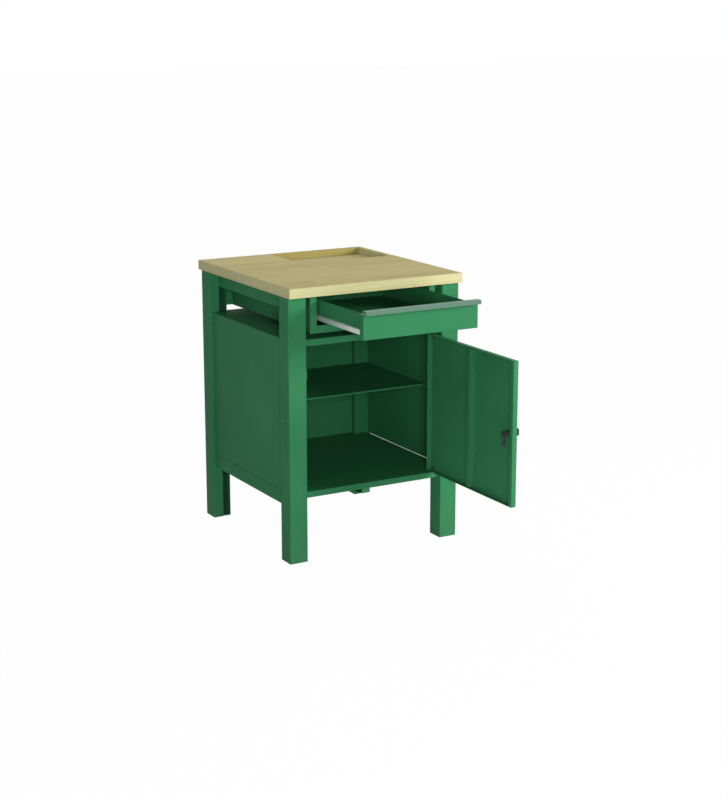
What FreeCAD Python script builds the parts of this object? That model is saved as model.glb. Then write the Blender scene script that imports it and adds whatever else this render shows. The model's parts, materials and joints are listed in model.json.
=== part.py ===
import FreeCAD, Part
import os

V = FreeCAD.Vector
ACROSS = V(1, 0, 0)
BACKWARD = V(0, 1, 0)
UP = V(0, 0, 1)

# Workbench with a drawer and a cupboard. Sizes are in millimetres.
# X runs to the right, Y to the back and Z up. The origin is on the floor, in the middle of the four feet.

# Worktop: a thin base board with a thick top board, which leaves a tool well in the back right corner
worktop_height = 850.0
base_board_thickness = 8.0
top_board_thickness = 22.0
front_overhang = 16.0
back_overhang = 16.0
side_overhang = 3.0
well_width = 324.0
well_length = 208.0
well_rim = 18.0
board_edge_radius = 1.5

# Frame: folded legs, open on the side that faces into the bench
frame_width = 594.0
frame_depth = 608.0
leg_size = 60.0
leg_sheet = 2.0
leg_return = 33.0
leg_corner_radius = 2.5
foot_plate_thickness = 4.0
foot_plate_gap = 0.2
anchor_hole_diameter = 11.0

# Rails between the legs
top_rail_height = 50.0
rail_sheet = 1.5
rail_corner_radius = 2.5
rail_end_gap = 3.0
slot_gap = 0.4
bottom_rail_underside = 172.0
bottom_rail_height = 44.0
bottom_rail_width = 24.0
back_rail_depth = 24.0
back_rail_height = 50.0
back_rail_inset = 10.0

# Bolts, plugs and wood screws
bolt_diameter = 8.0
bolt_hole_gap = 0.2
bolt_head_diameter = 14.0
bolt_head_height = 5.3
nut_height = 6.5
bolt_end = 2.0
rail_bolt_from_end = 14.0
thread_gap = 0.02
plug_diameter = 6.0
plug_head_diameter = 9.0
plug_head_height = 1.6
plug_depth = 5.0
plug_inset = 13.0
plug_below_shelf = 25.0
plug_below_roof = 29.0
screw_diameter = 5.0
screw_head_diameter = 9.0
screw_head_height = 3.0
screw_bite = 12.0
screw_end_inset = 70.0
screw_well_gap = 30.0

# Cupboard sheets
front_recess = 11.0
panel_recess = 10.0
panel_sheet = 1.2
panel_joint = 2.0
panel_top_fold = 18.0
panel_end_fold = 12.0
roof_gap = 16.0
roof_flange = 20.0
roof_lip = 15.0
floor_sheet = 1.5
floor_flange = 18.5
back_panel_lap = 31.0
back_panel_rail_gap = 4.0
sheet_gap = 0.5
bend_radius = 1.5

# Middle shelf on four clips
shelf_height = 464.0
shelf_flange = 18.0
shelf_hem = 5.0
shelf_setback = 163.0
shelf_gap = 1.5
clip_reach = 17.0
clip_length = 24.0
clip_rise = 16.0
clip_sheet = 2.0
clip_inset = 40.0

# Drawer housing, hung under the worktop
housing_height = 116.0
housing_leg_gap = 13.8
housing_back_gap = 8.0
housing_sheet = 1.2
housing_flange = 17.0
housing_back_drop = 26.0
stile_reach = 9.0
stile_width = 21.5
stile_fold = 14.0
face_rail_height = 23.0
face_rail_fold = 12.0

# Runners: rollers at the front of the housing and at the back of the drawer
axle_rise = 43.0
axle_diameter = 5.0
axle_fit = 0.02
roller_bore_gap = 0.05
running_gap = 0.3
channel_inner_height = 25.6
runner_sheet = 1.2
runner_front_gap = 2.0
front_roller_end_gap = 1.0
rear_roller_end_gap = 2.5
roller_width = 10.0
roller_side_gap = 1.2
axle_head = 1.5
axle_collar_length = 5.1
channel_back_gap = 7.0
web_below_axle = 6.0
lip_roof_gap = 1.8
drawer_axle_drop = 2.0
lip_side_gap = 1.0
stop_height = 6.0
stop_thickness = 2.0
stop_behind_roller = 68.2

# Drawer
pull_short_of_stop = 124.0
drawer_side_gap = 2.0
drawer_bottom_gap = 3.0
drawer_top_gap = 3.5
drawer_front_depth = 20.0
drawer_back_drop = 7.0
drawer_sheet = 1.0

# Aluminium grip rail along the drawer's upper edge
grip_wall = 2.0
grip_height = 12.5
grip_reach = 17.0
grip_base = 16.0
grip_lip = 13.0
grip_groove_width = 3.0
grip_groove_depth = 0.8
grip_edge_radius = 1.5
grip_screw_diameter = 4.0
grip_screw_head_diameter = 7.0
grip_screw_head_height = 2.4
grip_screw_length = 8.0
grip_screw_inset = 34.0

# Door with pivot pins at its foot and head
door_angle = 90.0
door_side_gap = 2.0
door_bottom_gap = 2.5
door_top_gap = 8.0
door_depth = 16.5
door_sheet = 1.0
door_lip = 15.0
pin_diameter = 5.0
pin_inset = 5.0
pin_from_end = 17.0
pin_gap = 0.05
pin_head_height = 2.5
bush_length = 12.0
collar_gap = 0.3
stiffener_width = 20.0
stiffener_setback = 1.0
stiffener_foot = 10.0
stiffener_end_gap = 6.0

# Lock: a knob turns a cam, whose tip enters a slot in the left front leg
lock_lip_gap = 3.5
barrel_diameter = 19.0
barrel_stand_out = 8.0
barrel_gap = 0.1
rosette_diameter = 26.0
rosette_height = 3.0
spindle_diameter = 8.0
spindle_gap = 0.05
knob_diameter = 24.0
knob_length = 18.0
knob_waist = 16.0
knob_gap = 0.3
cam_reach = 8.0
cam_width = 14.0
cam_sheet = 2.5
cam_slot_gap = 3.0
cam_nut_diameter = 13.0
cam_nut_height = 5.0

# Door stop and rubber buffers
stop_bracket_height = 30.0
stop_bracket_width = 18.0
stop_bracket_leg = 20.0
stop_bracket_sheet = 1.5
stop_bracket_drop = 100.0
buffer_diameter = 10.0
buffer_length = 4.0
rear_buffer_length = 15.5
rear_buffer_inset = 66.0

# Levels and planes that several pieces share
slab_underside = worktop_height - top_board_thickness - base_board_thickness
base_top = slab_underside + base_board_thickness
worktop_half = frame_width / 2 + side_overhang
worktop_front = -frame_depth / 2 - front_overhang
worktop_back = frame_depth / 2 + back_overhang
well_left = worktop_half - well_rim - well_width
well_front = worktop_back - well_rim - well_length
leg_outer = frame_width / 2
leg_inner = leg_outer - leg_size
leg_back = frame_depth / 2
leg_front = leg_back - leg_size
slot_outer = leg_outer - leg_return
slot_inner = leg_inner + leg_sheet
face_plane = -frame_depth / 2 + front_recess
panel_outer = leg_outer - panel_recess
panel_inner = panel_outer - panel_sheet
floor_underside = bottom_rail_underside + bottom_rail_height
floor_top = floor_underside + floor_sheet
back_rail_back = leg_back - back_rail_inset
back_rail_front = back_rail_back - back_rail_depth
back_panel_back = back_rail_front - back_panel_rail_gap
top_rail_bottom = slab_underside - top_rail_height
top_rail_inner = slot_inner + slot_gap
top_rail_outer = slot_outer - slot_gap
housing_bottom = slab_underside - housing_height
housing_side = leg_inner - housing_leg_gap - housing_flange - housing_sheet
housing_back = back_rail_front - housing_back_gap
opening_half = housing_side - stile_reach
face_rail_top = housing_bottom + face_rail_height
roof_height = housing_bottom - roof_gap
roof_underside = roof_height - panel_sheet
roof_flange_bottom = roof_height - roof_flange
axle_height = housing_bottom + axle_rise
channel_floor = axle_height - channel_inner_height / 2
channel_roof = axle_height + channel_inner_height / 2
roller_outer = housing_side - runner_sheet - axle_collar_length - running_gap
roller_inner = roller_outer - roller_width
web_outer = roller_inner - roller_side_gap
box_half = web_outer - runner_sheet
lip_outer = opening_half - lip_side_gap
lip_top = channel_roof - lip_roof_gap
lip_underside = lip_top - runner_sheet
runner_front = face_plane + drawer_front_depth + runner_front_gap
front_roller_radius = lip_underside - running_gap - axle_height
front_axle_y = runner_front + front_roller_end_gap + front_roller_radius
drawer_back = housing_back - housing_sheet - rear_buffer_length - running_gap
rear_roller_radius = channel_inner_height / 2 - running_gap
rear_axle_y = drawer_back - rear_roller_end_gap - rear_roller_radius
stop_back = front_axle_y + front_roller_radius + stop_behind_roller
drawer_travel = rear_axle_y - rear_roller_radius - running_gap - stop_back
drawer_pull = drawer_travel - pull_short_of_stop
drawer_underside = axle_height - drawer_axle_drop
drawer_front_bottom = face_rail_top + drawer_bottom_gap
drawer_front_top = slab_underside - drawer_top_gap - grip_height
drawer_front_half = opening_half - drawer_side_gap
drawer_back_top = drawer_front_top - drawer_back_drop
door_half = leg_inner - door_side_gap
door_bottom = floor_top + door_bottom_gap
door_top = roof_flange_bottom - door_top_gap
door_rim = face_plane + door_depth
pin_x = door_half - pin_from_end
pin_y = face_plane + pin_inset
lock_x = -door_half + door_lip + lock_lip_gap + barrel_diameter / 2
lock_z = (door_bottom + door_top) / 2
barrel_back = door_rim + barrel_stand_out
cam_front = barrel_back + knob_gap
cam_back = cam_front + cam_sheet
cam_tip = leg_inner + cam_reach


def block(x0, x1, y0, y1, z0, z1):
    """Rectangular block between two opposite corners."""
    return Part.makeBox(x1 - x0, y1 - y0, z1 - z0, V(x0, y0, z0))


def rod(x, y, z, axis, diameter, length):
    """Round rod that starts at a point and runs along an axis."""
    return Part.makeCylinder(diameter / 2, length, V(x, y, z), axis)


def hexagon(x, y, z, axis, diameter, length):
    """Six-sided head or nut that starts at a point and runs along an axis."""
    corners = [V(diameter / 2, 0, 0)]
    turn = FreeCAD.Rotation(UP, 60)
    for side in range(6):
        corners.append(turn.multVec(corners[side]))
    solid = Part.Face(Part.makePolygon(corners)).extrude(V(0, 0, length))
    solid.Placement = FreeCAD.Placement(V(x, y, z), FreeCAD.Rotation(UP, axis))
    return solid


def joined(pieces):
    """One sheet or casting out of overlapping blocks."""
    whole = pieces[0].fuse(pieces[1:])
    return whole.removeSplitter()


def without(shape, tools):
    """A shape with holes and notches cut out of it."""
    for tool in tools:
        shape = shape.cut(tool)
    return shape


def mirrored(shape):
    """The left-hand copy of a right-hand shape."""
    return shape.mirror(V(0, 0, 0), ACROSS)


def turned_front(shape):
    """The front copy of a shape at the back."""
    return shape.mirror(V(0, 0, 0), BACKWARD)


def rounded(shape, radius, wanted):
    """A shape with the edges that a test picks rounded off."""
    edges = [edge for edge in shape.Edges if all(wanted(vertex.Point) for vertex in edge.Vertexes)]
    return shape.makeFillet(radius, edges)


def softened(x0, x1, y0, y1, z0, z1, radius, along):
    """Block whose four edges along one axis are rounded, as on a drawn tube."""
    solid = block(x0, x1, y0, y1, z0, z1)
    edges = [edge for edge in solid.Edges if abs(edge.tangentAt(edge.FirstParameter).dot(along)) > 0.9]
    return solid.makeFillet(radius, edges)


def folded_pan(x0, x1, y0, y1, z0, z1, sheet):
    """Sheet folded back on all four sides, with rounded bends and an open back."""
    outside = block(x0, x1, y0, y1, z0, z1)
    bends = [edge for edge in outside.Edges if edge.BoundBox.YMin < y0 + sheet / 2]
    inside = block(x0 + sheet, x1 - sheet, y0 + sheet, y1, z0 + sheet, z1 - sheet)
    return outside.makeFillet(bend_radius, bends).cut(inside)


def save(node, shapes):
    """Write one node, a single solid or a group of solids."""
    whole = shapes[0] if len(shapes) == 1 else Part.makeCompound(shapes)
    whole.exportStep("parts/" + node + ".step")
    print(node, len(whole.Solids), "solids", round(sum(solid.Volume for solid in whole.Solids) / 1000, 2), "cm3")


def screw_places():
    """Wood screws that hold the side rails and the housing to the worktop: x, y and height of the head."""
    places = []
    rail_x = (top_rail_inner + top_rail_outer) / 2
    flange_x = housing_side + housing_sheet + housing_flange / 2
    for side in (-1, 1):
        for y in (screw_end_inset - leg_front, well_front - screw_well_gap):
            places.append((side * rail_x, y, top_rail_bottom))
        for y in (face_plane + screw_end_inset, well_front - screw_well_gap):
            places.append((side * flange_x, y, slab_underside - housing_sheet))
    return places


def screw_shanks(gap):
    """The shanks of the worktop screws, widened by a gap for their holes."""
    shanks = []
    for x, y, z in screw_places():
        shanks.append(rod(x, y, z, UP, screw_diameter + 2 * gap, slab_underside + screw_bite - z))
    return shanks


def build_worktop():
    """Base board, top board with its corner left free, and the two rims that close the tool well."""
    holes = screw_shanks(thread_gap)
    base = block(-worktop_half, worktop_half, worktop_front, worktop_back, slab_underside, base_top)
    save("worktop_base_board", [without(base, holes)])

    def outer_edge(point):
        on_side = abs(abs(point.x) - worktop_half) < 0.01
        on_end = abs(point.y - worktop_front) < 0.01 or abs(point.y - worktop_back) < 0.01
        return abs(point.z - worktop_height) < 0.01 and (on_side or on_end)

    board = block(-worktop_half, worktop_half, worktop_front, worktop_back, base_top, worktop_height)
    corner = block(well_left, worktop_half, well_front, worktop_back, base_top, worktop_height)
    board = rounded(board.cut(corner), board_edge_radius, outer_edge)
    save("worktop_top_board", [without(board, holes)])
    back_rim = block(well_left, worktop_half, worktop_back - well_rim, worktop_back, base_top, worktop_height)
    save("well_back_rim", [rounded(back_rim, board_edge_radius, outer_edge)])
    side_rim = block(worktop_half - well_rim, worktop_half, well_front, worktop_back - well_rim,
                     base_top, worktop_height)
    save("well_side_rim", [rounded(side_rim, board_edge_radius, outer_edge)])
    screws = []
    for (x, y, z), shank in zip(screw_places(), screw_shanks(0)):
        head = rod(x, y, z - screw_head_height, UP, screw_head_diameter, screw_head_height)
        screws.append(joined([head, shank]))
    save("worktop_screws", screws)


def back_rail_heights():
    """Middle heights of the two back rails. The top one is as high as the drawer housing that it hides."""
    top = slab_underside - housing_height / 2
    bottom = bottom_rail_underside + back_rail_height / 2
    return (top, bottom)


def back_rail_middle():
    """Middle of the back rails, from front to back."""
    return (back_rail_front + back_rail_back) / 2


def top_rail_end():
    """Distance from the middle at which the top side rails end, short of the back rails' bolt heads."""
    return back_rail_middle() - bolt_head_diameter / 2 - rail_end_gap


def top_rail_bolt_y():
    """Distance from the middle at which the top side rails are bolted to the legs."""
    return top_rail_end() - rail_bolt_from_end


def plug_heights():
    """Heights of the two plugged holes in each leg."""
    return (shelf_height - plug_below_shelf, roof_height - plug_below_roof)


def leg(with_back_rails):
    """Right back leg: a folded box whose front side is open beside its inner wall."""
    outside = block(leg_inner, leg_outer, leg_front, leg_back, 0, slab_underside)
    inside = block(leg_inner + leg_sheet, leg_outer - leg_sheet, leg_front + leg_sheet, leg_back - leg_sheet,
                   0, slab_underside)
    slot = block(slot_inner, slot_outer, leg_front, leg_front + leg_sheet, 0, slab_underside)

    def corner(point):
        at_side = abs(point.x - leg_outer) < 0.01 or abs(point.x - leg_inner) < 0.01
        at_end = abs(point.y - leg_back) < 0.01 or abs(point.y - leg_front) < 0.01
        return at_side and at_end

    upright = [edge for edge in outside.Edges if edge.BoundBox.ZLength > leg_size]
    outside = outside.makeFillet(leg_corner_radius, [edge for edge in upright if corner(edge.Vertexes[0].Point)])
    hole = bolt_diameter + 2 * bolt_hole_gap
    holes = [rod(leg_inner, top_rail_bolt_y(), slab_underside - top_rail_height / 2, ACROSS, hole, leg_sheet)]
    if with_back_rails:
        for z in back_rail_heights():
            holes.append(rod(leg_inner, back_rail_middle(), z, ACROSS, hole, leg_sheet))
    for z in plug_heights():
        holes.append(rod(leg_outer - leg_sheet, leg_front + plug_inset, z, ACROSS,
                         plug_diameter + 2 * thread_gap, leg_sheet))
    return without(outside.cut(inside), [slot] + holes)


def build_legs():
    """Four legs, their foot plates with anchor holes and the plugs on their outer faces."""
    back_right = leg(True)
    front_right = turned_front(leg(False))
    front_left = mirrored(front_right)
    cam_slot = block(-leg_inner - leg_sheet, -leg_inner, cam_front - cam_slot_gap, cam_back + cam_slot_gap,
                     lock_z - cam_width / 2 - cam_slot_gap, lock_z + cam_width / 2 + cam_slot_gap)
    save("leg_back_right", [back_right])
    save("leg_back_left", [mirrored(back_right)])
    save("leg_front_right", [front_right])
    save("leg_front_left", [front_left.cut(cam_slot)])
    inset = leg_sheet + foot_plate_gap
    plate = block(leg_inner + inset, leg_outer - inset, leg_front + inset, leg_back - inset,
                  0, foot_plate_thickness)
    anchor = rod((leg_inner + leg_outer) / 2, (leg_front + leg_back) / 2, 0, UP,
                 anchor_hole_diameter, foot_plate_thickness)
    plate = plate.cut(anchor)
    save("foot_plates", [plate, mirrored(plate), turned_front(plate), turned_front(mirrored(plate))])
    plugs = []
    for z in plug_heights():
        head = rod(leg_outer, leg_front + plug_inset, z, ACROSS, plug_head_diameter, plug_head_height)
        shank = rod(leg_outer - plug_depth, leg_front + plug_inset, z, ACROSS, plug_diameter, plug_depth)
        plug = joined([head, shank])
        plugs += [plug, mirrored(plug), turned_front(plug), turned_front(mirrored(plug))]
    save("leg_hole_plugs", plugs)


def build_rails():
    """Top side rails in the leg slots, bottom side rails between the legs, and two back rails."""
    end = top_rail_end()
    tube = softened(top_rail_inner, top_rail_outer, -end, end, top_rail_bottom, slab_underside,
                    rail_corner_radius, BACKWARD)
    bore = block(top_rail_inner + rail_sheet, top_rail_outer - rail_sheet, -end, end,
                 top_rail_bottom + rail_sheet, slab_underside - rail_sheet)
    hole = bolt_diameter + 2 * bolt_hole_gap
    holes = screw_shanks(thread_gap)
    for side in (-1, 1):
        holes.append(rod(top_rail_inner, side * top_rail_bolt_y(), slab_underside - top_rail_height / 2,
                         ACROSS, hole, rail_sheet))
    right_rail = without(tube.cut(bore), holes)
    save("top_rail_right", [right_rail])
    save("top_rail_left", [mirrored(right_rail)])

    inner = panel_outer - bottom_rail_width
    tube = softened(inner, panel_outer, -leg_front, leg_front, bottom_rail_underside, floor_underside,
                    rail_corner_radius, BACKWARD)
    bore = block(inner + rail_sheet, panel_outer - rail_sheet, -leg_front, leg_front,
                 bottom_rail_underside + rail_sheet, floor_underside - rail_sheet)
    save("bottom_rail_right", [tube.cut(bore)])
    save("bottom_rail_left", [mirrored(tube.cut(bore))])

    rails = zip(("top_rail_back", "bottom_rail_back"), back_rail_heights(), (housing_height, back_rail_height))
    for node, middle, height in rails:
        low = middle - height / 2
        high = middle + height / 2
        channel = block(-leg_inner, leg_inner, back_rail_front, back_rail_back, low, high)
        hollow = block(-leg_inner + rail_sheet, leg_inner - rail_sheet, back_rail_front + rail_sheet,
                       back_rail_back - rail_sheet, low, high - rail_sheet)
        ends = [rod(-leg_inner, back_rail_middle(), middle, ACROSS, hole, 2 * leg_inner)]
        save(node, [without(channel.cut(hollow), ends)])


def bolt_and_nut(head_x, y, z, direction, grip):
    """A bolt whose head starts at head_x and clamps a grip, with its nut beyond."""
    along = V(direction, 0, 0)
    start = head_x + direction * bolt_head_height
    head = hexagon(head_x, y, z, along, bolt_head_diameter, bolt_head_height)
    shank = rod(start, y, z, along, bolt_diameter, grip + nut_height + bolt_end)
    nut = hexagon(start + direction * grip, y, z, along, bolt_head_diameter, nut_height)
    bore = rod(start, y, z, along, bolt_diameter + 2 * thread_gap, grip + nut_height + bolt_end)
    return [joined([head, shank]), nut.cut(bore)]


def build_bolts():
    """Bolts of the top side rails, with heads inside the bench, and of the back rails, with heads in the legs."""
    bolts = []
    rail_grip = leg_sheet + slot_gap + rail_sheet
    for end in (-1, 1):
        bolts += bolt_and_nut(leg_inner - bolt_head_height, end * top_rail_bolt_y(),
                              slab_underside - top_rail_height / 2, 1, rail_grip)
    for z in back_rail_heights():
        bolts += bolt_and_nut(leg_inner + leg_sheet + bolt_head_height, back_rail_middle(), z, -1,
                              leg_sheet + rail_sheet)
    save("frame_bolts", bolts + [mirrored(bolt) for bolt in bolts])


def build_panels():
    """Side panels with folds for the roof and the legs, and a back panel that laps over the leg slots."""
    low = floor_underside + panel_joint
    sheet = block(panel_inner, panel_outer, -leg_front, leg_front, low, roof_underside)
    top_fold = block(panel_outer - panel_top_fold, panel_outer, -leg_front, leg_front,
                     roof_underside - panel_sheet, roof_underside)
    end_fold = block(panel_outer - panel_end_fold, panel_outer, leg_front - panel_sheet, leg_front,
                     floor_top + sheet_gap, roof_underside)
    panel = joined([sheet, top_fold, end_fold, turned_front(end_fold)])
    save("side_panel_right", [panel])
    save("side_panel_left", [mirrored(panel)])

    front = leg_front - panel_sheet
    high = roof_underside - sheet_gap
    pan = block(-leg_inner, leg_inner, front, back_panel_back, floor_top, high)
    laps = block(-leg_inner - back_panel_lap, leg_inner + back_panel_lap, front, leg_front, floor_top, high)
    hollow = block(-leg_inner + panel_sheet, leg_inner - panel_sheet, front, back_panel_back - panel_sheet,
                   floor_top, high)
    save("back_panel", [joined([pan, laps]).cut(hollow)])


def deck(low, high, edge):
    """A sheet that fills the plan between the side panels and passes between the front and back legs."""
    middle = block(-edge, edge, -leg_front + sheet_gap, leg_front - sheet_gap, low, high)
    tongue = leg_inner - sheet_gap
    front = block(-tongue, tongue, face_plane, -leg_front + sheet_gap, low, high)
    back = block(-tongue, tongue, leg_front - sheet_gap, back_panel_back, low, high)
    return [middle, front, back]


def front_bend(height):
    """A test for the points of a front bend at one height."""
    return lambda point: abs(point.y - face_plane) < 0.01 and abs(point.z - height) < 0.01


def build_decks():
    """Cupboard floor and roof, each with a front flange between the legs, and holes for the hinge pins."""
    tongue = leg_inner - sheet_gap
    pin_hole = pin_diameter + 2 * thread_gap
    flange = block(-tongue, tongue, face_plane, face_plane + floor_sheet, floor_top - floor_flange, floor_top)
    floor = joined(deck(floor_underside, floor_top, panel_inner - sheet_gap) + [flange])
    floor = rounded(floor, bend_radius, front_bend(floor_top))
    floor = floor.cut(rod(pin_x, pin_y, floor_underside, UP, pin_hole, floor_sheet))
    save("cabinet_floor", [floor])

    flange = block(-tongue, tongue, face_plane, face_plane + panel_sheet, roof_flange_bottom, roof_height)
    lip = block(-tongue, tongue, face_plane, face_plane + roof_lip,
                roof_flange_bottom, roof_flange_bottom + panel_sheet)
    roof = joined(deck(roof_underside, roof_height, panel_outer) + [flange, lip])
    roof = rounded(roof, bend_radius, front_bend(roof_height))
    roof = rounded(roof, bend_radius, front_bend(roof_flange_bottom))
    roof = roof.cut(rod(pin_x, pin_y, roof_flange_bottom, UP, pin_hole, panel_sheet))
    save("cabinet_roof", [roof])


def build_shelf():
    """Middle shelf, a tray turned upside down with a narrow front hem, and the four clips that carry it."""
    half = panel_inner - shelf_gap
    front = face_plane + shelf_setback
    back = leg_front - panel_sheet - shelf_gap
    low = shelf_height - shelf_flange
    tray = block(-half, half, front, back, low, shelf_height)
    hollow = block(-half + panel_sheet, half - panel_sheet, front + panel_sheet, back - panel_sheet,
                   low, shelf_height - panel_sheet)
    below_hem = block(-half + panel_sheet, half - panel_sheet, front, front + panel_sheet,
                      low, shelf_height - shelf_hem)
    save("middle_shelf", [without(tray, [hollow, below_hem])])
    clips = []
    for y in (front + clip_inset, back - clip_inset - clip_length):
        ledge = block(panel_inner - clip_reach, panel_inner, y, y + clip_length, low - clip_sheet, low)
        plate = block(panel_inner - shelf_gap, panel_inner, y, y + clip_length, low - clip_rise, low)
        clip = joined([ledge, plate])
        clips += [clip, mirrored(clip)]
    save("shelf_clips", clips)


def build_housing():
    """Drawer housing: two sides with flanges under the worktop, bottom, back and a face frame of three strips."""
    front = face_plane + housing_sheet
    outer = housing_side + housing_sheet
    sheet = block(housing_side, outer, front, housing_back, housing_bottom, slab_underside)
    flange = block(housing_side, outer + housing_flange, front, housing_back,
                   slab_underside - housing_sheet, slab_underside)
    side = joined([sheet, flange])
    hole = axle_diameter + 2 * axle_fit
    side = without(side, screw_shanks(thread_gap))
    save("housing_side_right", [side])
    save("housing_side_left", [mirrored(side)])
    save("housing_bottom", [block(-housing_side, housing_side, front, housing_back,
                                  housing_bottom, housing_bottom + housing_sheet)])
    save("housing_back", [block(-housing_side, housing_side, housing_back - housing_sheet, housing_back,
                                housing_bottom + housing_sheet, slab_underside - housing_back_drop)])

    stile_outer = opening_half + stile_width
    face = block(opening_half, stile_outer, face_plane, front, housing_bottom, slab_underside)
    fold = block(stile_outer - housing_sheet, stile_outer, face_plane, front + stile_fold,
                 housing_bottom, slab_underside - housing_sheet)
    stile = joined([face, fold])
    save("face_frame_right", [stile])
    save("face_frame_left", [mirrored(stile)])
    face = block(-opening_half, opening_half, face_plane, front, housing_bottom, face_rail_top)
    fold = block(-opening_half, opening_half, face_plane, front + face_rail_fold,
                 face_rail_top - housing_sheet, face_rail_top)
    save("face_frame_bottom", [joined([face, fold])])

    channel_back = housing_back - housing_sheet - channel_back_gap
    web = block(housing_side - runner_sheet, housing_side, runner_front, channel_back,
                channel_floor - runner_sheet, channel_roof + runner_sheet)
    low = block(roller_inner, housing_side, runner_front, channel_back,
                channel_floor - runner_sheet, channel_floor)
    high = block(roller_inner, housing_side, runner_front, channel_back,
                 channel_roof, channel_roof + runner_sheet)
    stop = block(roller_inner, roller_outer, stop_back - stop_thickness, stop_back,
                 channel_floor, channel_floor + stop_height)
    axle_hole = rod(housing_side - runner_sheet, front_axle_y, axle_height, ACROSS, hole, runner_sheet)
    runner = joined([web, low, high, stop]).cut(axle_hole)
    save("fixed_runner_right", [runner])
    save("fixed_runner_left", [mirrored(runner)])

    shank = rod(roller_inner - axle_head / 2, front_axle_y, axle_height, ACROSS, axle_diameter,
                housing_side - roller_inner + axle_head / 2)
    collar = rod(roller_outer + running_gap, front_axle_y, axle_height, ACROSS, axle_diameter + 2 * axle_head,
                 housing_side - runner_sheet - roller_outer - running_gap)
    axle = joined([shank, collar])
    save("front_roller_axles", [axle, mirrored(axle)])
    roller = rod(roller_inner, front_axle_y, axle_height, ACROSS, 2 * front_roller_radius, roller_width)
    bore = rod(roller_inner, front_axle_y, axle_height, ACROSS, axle_diameter + 2 * roller_bore_gap, roller_width)
    save("front_roller_right", [roller.cut(bore)])
    save("front_roller_left", [mirrored(roller.cut(bore))])


def drawn(shapes):
    """Drawer pieces, moved from the closed place to the pulled-out place."""
    return [shape.translated(V(0, -drawer_pull, 0)) for shape in shapes]


def grip_screw_places():
    """Positions of the grip rail's screws along the drawer front."""
    outermost = drawer_front_half - grip_screw_inset
    return (-outermost, 0, outermost)


def grip_holes(gap, low, high):
    """Upright screw shanks or holes through the grip rail's foot, between two heights."""
    y = face_plane + (grip_wall + grip_base) / 2
    return [rod(x, y, low, UP, grip_screw_diameter + 2 * gap, high - low) for x in grip_screw_places()]


def build_drawer_front():
    """Folded front pan and the aluminium grip rail on its upper edge."""
    pan = folded_pan(-drawer_front_half, drawer_front_half, face_plane, face_plane + drawer_front_depth,
                     drawer_front_bottom, drawer_front_top, drawer_sheet)
    holes = grip_holes(thread_gap, drawer_front_top - drawer_sheet, drawer_front_top)
    save("drawer_front", drawn([without(pan, holes)]))

    top = drawer_front_top + grip_height
    half = drawer_front_half
    base = block(-half, half, face_plane, face_plane + grip_base, drawer_front_top, drawer_front_top + grip_wall)
    wall = block(-half, half, face_plane, face_plane + grip_wall, drawer_front_top, top)
    cap = block(-half, half, face_plane - grip_reach, face_plane + grip_wall, top - grip_wall, top)
    lip = block(-half, half, face_plane - grip_reach, face_plane - grip_reach + grip_wall, top - grip_lip, top)
    groove_y = face_plane - grip_reach / 2
    groove = block(-half, half, groove_y, groove_y + grip_groove_width, top - grip_groove_depth, top)
    holes = grip_holes(thread_gap, drawer_front_top, drawer_front_top + grip_wall)

    def upper_edge(point):
        at_front = abs(point.y - face_plane + grip_reach) < 0.01
        at_back = abs(point.y - face_plane - grip_wall) < 0.01
        return abs(point.z - top) < 0.01 and (at_front or at_back)

    rail = rounded(joined([base, wall, cap, lip]), grip_edge_radius, upper_edge)
    save("drawer_grip_rail", drawn([without(rail, [groove] + holes)]))

    seat = drawer_front_top + grip_wall
    screws = []
    for shank in grip_holes(0, seat - grip_screw_length, seat):
        middle = shank.BoundBox.Center
        head = rod(middle.x, middle.y, seat, UP, grip_screw_head_diameter, grip_screw_head_height)
        screws.append(joined([shank, head]))
    save("grip_rail_screws", drawn(screws))


def build_drawer_box():
    """Drawer sides, bottom, back and inner front, with the moving runners and their rear rollers."""
    front = face_plane + drawer_front_depth
    inner = box_half - drawer_sheet
    side = block(inner, box_half, front, drawer_back, drawer_underside, drawer_front_top)
    save("drawer_side_right", drawn([side]))
    save("drawer_side_left", drawn([mirrored(side)]))
    floor_top_level = drawer_underside + drawer_sheet
    save("drawer_bottom", drawn([block(-inner, inner, front, drawer_back, drawer_underside, floor_top_level)]))
    save("drawer_back", drawn([block(-inner, inner, drawer_back - drawer_sheet, drawer_back,
                                     floor_top_level, drawer_back_top)]))
    save("drawer_inner_front", drawn([block(-inner, inner, front, front + drawer_sheet,
                                            floor_top_level, drawer_front_top)]))

    web_low = axle_height - web_below_axle
    lip_back = rear_axle_y - rear_roller_radius - roller_side_gap
    web = block(box_half, web_outer, front, drawer_back, web_low, lip_top)
    lip = block(box_half, lip_outer, front, lip_back, lip_underside, lip_top)
    hole = rod(box_half, rear_axle_y, axle_height, ACROSS, axle_diameter + 2 * axle_fit, runner_sheet)
    runner = joined([web, lip]).cut(hole)
    save("moving_runner_right", drawn([runner]))
    save("moving_runner_left", drawn([mirrored(runner)]))

    shank = rod(box_half, rear_axle_y, axle_height, ACROSS, axle_diameter, roller_outer + axle_head - box_half)
    collar = rod(web_outer, rear_axle_y, axle_height, ACROSS, axle_diameter + 2 * axle_head,
                 roller_side_gap - running_gap)
    axle = joined([shank, collar])
    save("rear_roller_axles", drawn([axle, mirrored(axle)]))
    roller = rod(roller_inner, rear_axle_y, axle_height, ACROSS, 2 * rear_roller_radius, roller_width)
    bore = rod(roller_inner, rear_axle_y, axle_height, ACROSS, axle_diameter + 2 * roller_bore_gap, roller_width)
    save("rear_roller_right", drawn([roller.cut(bore)]))
    save("rear_roller_left", drawn([mirrored(roller.cut(bore))]))


def swung(shapes):
    """Door pieces, turned from the closed place to the open place about the hinge pins."""
    result = []
    for shape in shapes:
        copy = shape.copy()
        copy.rotate(V(pin_x, pin_y, 0), UP, door_angle)
        result.append(copy)
    return result


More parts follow.
